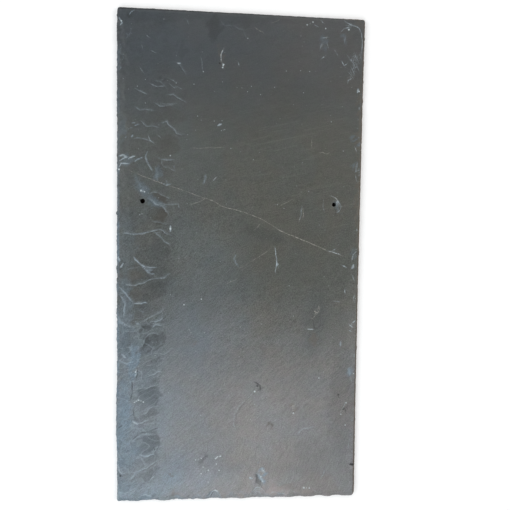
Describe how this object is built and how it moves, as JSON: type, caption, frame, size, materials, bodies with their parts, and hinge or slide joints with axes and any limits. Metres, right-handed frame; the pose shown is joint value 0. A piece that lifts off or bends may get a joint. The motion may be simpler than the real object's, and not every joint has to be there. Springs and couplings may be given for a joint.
{
  "type": "slate roof tile",
  "caption": "Rectangular sheet of split roofing slate with hand-dressed edges, a flaked left margin and two punched nail holes above mid length.",
  "frame": {"origin": "centre of the underside (the bed)", "axes": "+X across the tile to its right, +Y from the tail to the head, +Z from the bed up to the face"},
  "size_m": [0.254, 0.508, 0.006],
  "materials": {
    "slate": "satin"
  },
  "bodies": {
    "root": {"slate_tile": "slate"}
  },
  "joints": []
}
